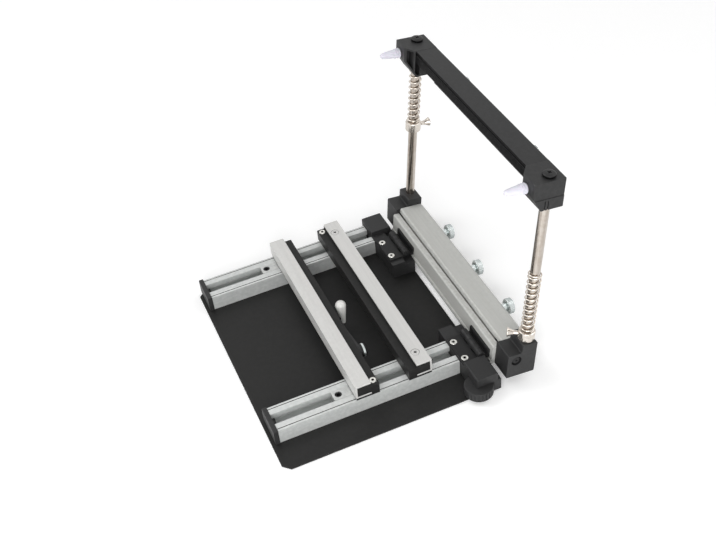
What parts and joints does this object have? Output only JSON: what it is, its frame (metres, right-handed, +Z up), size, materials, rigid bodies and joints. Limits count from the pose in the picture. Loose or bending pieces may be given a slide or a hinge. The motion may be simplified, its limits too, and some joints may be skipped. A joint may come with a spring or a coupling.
{
  "type": "stencil printer",
  "caption": "Manual bench jig that prints solder paste through a stencil: base plate with two slotted rails, sliding board clamps and a hinged, sprung stencil frame.",
  "frame": {"origin": "on the underside of the base plate, under the middle of the hinge axis", "axes": "+X to the right along the hinge, +Y to the rear, +Z up"},
  "size_m": [0.2417, 0.2529, 0.201],
  "materials": {
    "black_plate": "satin black powder coat",
    "black_metal": "satin black",
    "black_plastic": "moulded, satin",
    "aluminium": "satin, drawn",
    "slider_steel": "plain",
    "screw_steel": "bright",
    "nickel_steel": "nickel plated",
    "zinc_steel": "zinc plated",
    "white_plastic": "satin"
  },
  "bodies": {
    "base": {"base_plate": "black_plate", "left_rail": "aluminium", "right_rail": "aluminium", "left_rail_cap": "black_plastic", "right_rail_cap": "black_plastic", "rail_screws": "screw_steel", "left_hinge_block": "black_plastic", "right_hinge_block": "black_plastic", "hinge_block_screws": "screw_steel", "left_fixed_leaf": "black_metal", "right_fixed_leaf": "black_metal", "fixed_leaf_screws": "screw_steel", "left_hinge_pin": "black_metal", "right_hinge_pin": "black_metal"},
    "height_knob": {"height_knob": "black_plastic"},
    "stencil_frame": {"left_moving_leaf": "black_metal", "right_moving_leaf": "black_metal", "moving_leaf_screws": "screw_steel", "clamp_bar": "aluminium", "left_end_block": "black_plastic", "right_end_block": "black_plastic", "end_block_screws": "black_metal", "left_post": "nickel_steel", "right_post": "nickel_steel", "post_screws": "black_metal"},
    "bar_jaw": {"bar_jaw": "aluminium"},
    "bar_thumb_screw_left": {"bar_thumb_screw_left": "zinc_steel"},
    "bar_thumb_screw_middle": {"bar_thumb_screw_middle": "zinc_steel"},
    "bar_thumb_screw_right": {"bar_thumb_screw_right": "zinc_steel"},
    "beam": {"cross_beam": "black_metal", "left_beam_end": "black_plastic", "right_beam_end": "black_plastic", "left_cone": "white_plastic", "right_cone": "white_plastic"},
    "beam_jaw": {"beam_jaw": "black_metal"},
    "beam_thumb_screw_left": {"beam_thumb_screw_left": "zinc_steel"},
    "beam_thumb_screw_right": {"beam_thumb_screw_right": "zinc_steel"},
    "left_collar": {"left_collar": "nickel_steel", "left_spring": "nickel_steel"},
    "right_collar": {"right_collar": "nickel_steel", "right_spring": "nickel_steel"},
    "left_collar_screw": {"left_collar_screw": "nickel_steel"},
    "right_collar_screw": {"right_collar_screw": "nickel_steel"},
    "front_crossbar": {"front_channel": "aluminium", "front_core": "black_plastic", "front_sliders": "slider_steel", "front_set_screws": "black_metal", "front_slider_screws": "screw_steel", "front_core_screw": "screw_steel"},
    "rear_crossbar": {"rear_channel": "aluminium", "rear_core": "black_plastic", "rear_sliders": "slider_steel", "rear_cross_screws": "screw_steel", "rear_core_screw": "screw_steel"},
    "lock_lever": {"lever_hub": "zinc_steel", "lever_arm": "black_plastic", "lever_grip": "white_plastic"}
  },
  "joints": [
    {"name": "frame_hinge", "type": "hinge", "parent": "base", "child": "stencil_frame", "pos_m": [0, 0, 0.02], "axis": [1, 0, 0], "range_deg": [0, 95.7]},
    {"name": "beam_slide", "type": "slide", "parent": "stencil_frame", "child": "beam", "axis": [0, 0.0993, 0.9951], "range_m": [-0.008, 0], "stiffness_N_per_m": 3000, "springref_m": 0.004, "deforming": ["left_spring"]},
    {"name": "left_collar_slide", "type": "slide", "parent": "stencil_frame", "child": "left_collar", "axis": [0, 0.0993, 0.9951], "range_m": [-0.06, 0]},
    {"name": "right_collar_slide", "type": "slide", "parent": "stencil_frame", "child": "right_collar", "axis": [0, 0.0993, 0.9951], "range_m": [0, 0.055]},
    {"name": "left_collar_screw_turn", "type": "hinge", "parent": "left_collar", "child": "left_collar_screw", "pos_m": [-0.109, 0.0391, 0.11368], "axis": [0, 0.9951, -0.0993], "range_deg": [0, 720]},
    {"name": "right_collar_screw_turn", "type": "hinge", "parent": "right_collar", "child": "right_collar_screw", "pos_m": [0.109, 0.03225, 0.04502], "axis": [-0.5, -0.8617, 0.086], "range_deg": [0, 720]},
    {"name": "bar_thumb_middle_turn", "type": "hinge", "parent": "stencil_frame", "child": "bar_thumb_screw_middle", "pos_m": [0, 0.04269, 0.02478], "axis": [0, 0.9951, -0.0993], "range_deg": [-1000, 0]},
    {"name": "bar_thumb_left_turn", "type": "hinge", "parent": "stencil_frame", "child": "bar_thumb_screw_left", "pos_m": [-0.056, 0.04269, 0.02478], "axis": [0, 0.9951, -0.0993], "range_deg": [-1000, 0]},
    {"name": "bar_thumb_right_turn", "type": "hinge", "parent": "stencil_frame", "child": "bar_thumb_screw_right", "pos_m": [0.056, 0.04269, 0.02478], "axis": [0, 0.9951, -0.0993], "range_deg": [-1000, 0]},
    {"name": "bar_jaw_slide", "type": "slide", "parent": "stencil_frame", "child": "bar_jaw", "axis": [0, 0.9951, -0.0993], "range_m": [-0.0019, 0]},
    {"name": "beam_thumb_left_turn", "type": "hinge", "parent": "beam", "child": "beam_thumb_screw_left", "pos_m": [-0.056, 0.06084, 0.17643], "axis": [0, 0.9951, -0.0993], "range_deg": [-600, 0]},
    {"name": "beam_thumb_right_turn", "type": "hinge", "parent": "beam", "child": "beam_thumb_screw_right", "pos_m": [0.056, 0.06084, 0.17643], "axis": [0, 0.9951, -0.0993], "range_deg": [-600, 0]},
    {"name": "beam_jaw_slide", "type": "slide", "parent": "beam", "child": "beam_jaw", "axis": [0, 0.9951, -0.0993], "range_m": [0, 0.00115]},
    {"name": "height_knob_turn", "type": "hinge", "parent": "base", "child": "height_knob", "pos_m": [0.1127, -0.0133, 0.008], "axis": [0, 0, 1], "continuous": true},
    {"name": "front_crossbar_slide", "type": "slide", "parent": "base", "child": "front_crossbar", "axis": [0, 1, 0], "range_m": [-0.0485, 0.007]},
    {"name": "rear_crossbar_slide", "type": "slide", "parent": "base", "child": "rear_crossbar", "axis": [0, 1, 0], "range_m": [-0.006, 0.0245]},
    {"name": "lock_lever_turn", "type": "hinge", "parent": "front_crossbar", "child": "lock_lever", "pos_m": [0.041, -0.0874, 0.0205], "axis": [0, 1, 0], "range_deg": [0, 90]}
  ],
  "couplings": [
    {"joint": "bar_thumb_left_turn", "follows": "bar_jaw_slide", "rad_per_m": 8976},
    {"joint": "bar_thumb_middle_turn", "follows": "bar_jaw_slide", "rad_per_m": 8976},
    {"joint": "bar_thumb_right_turn", "follows": "bar_jaw_slide", "rad_per_m": 8976},
    {"joint": "beam_thumb_left_turn", "follows": "beam_jaw_slide", "rad_per_m": -8976},
    {"joint": "beam_thumb_right_turn", "follows": "beam_jaw_slide", "rad_per_m": -8976}
  ]
}
